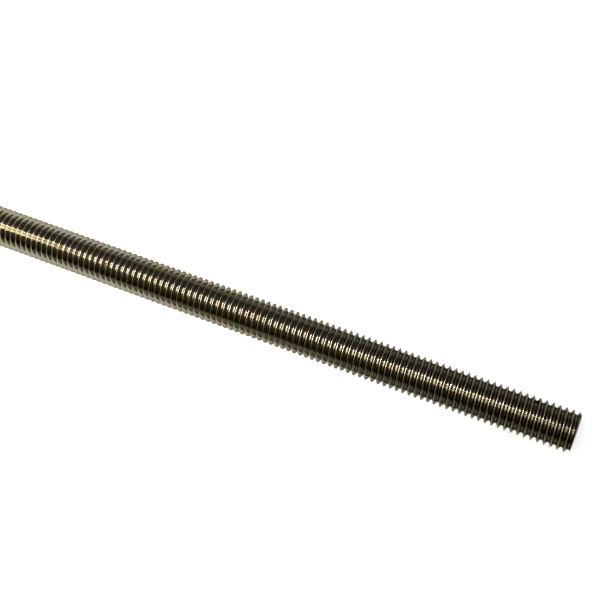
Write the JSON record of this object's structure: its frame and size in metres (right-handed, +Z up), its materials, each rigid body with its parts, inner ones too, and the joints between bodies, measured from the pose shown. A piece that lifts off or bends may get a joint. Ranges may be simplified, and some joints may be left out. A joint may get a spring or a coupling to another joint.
{
  "type": "threaded rod",
  "caption": "Straight steel rod with a right-hand metric thread along its whole length and a small chamfer at each flat end.",
  "frame": {"origin": "on the rod's axis, at the middle of its length", "axes": "+X along the rod, +Z up as it lies on its side, +Y to its side"},
  "size_m": [0.15, 0.008, 0.008],
  "materials": {
    "rod_steel": "rolled steel under a thin uneven brownish oil film, duller on the crests and darker in the roots"
  },
  "bodies": {
    "root": {"threaded_rod": "rod_steel"}
  },
  "joints": []
}
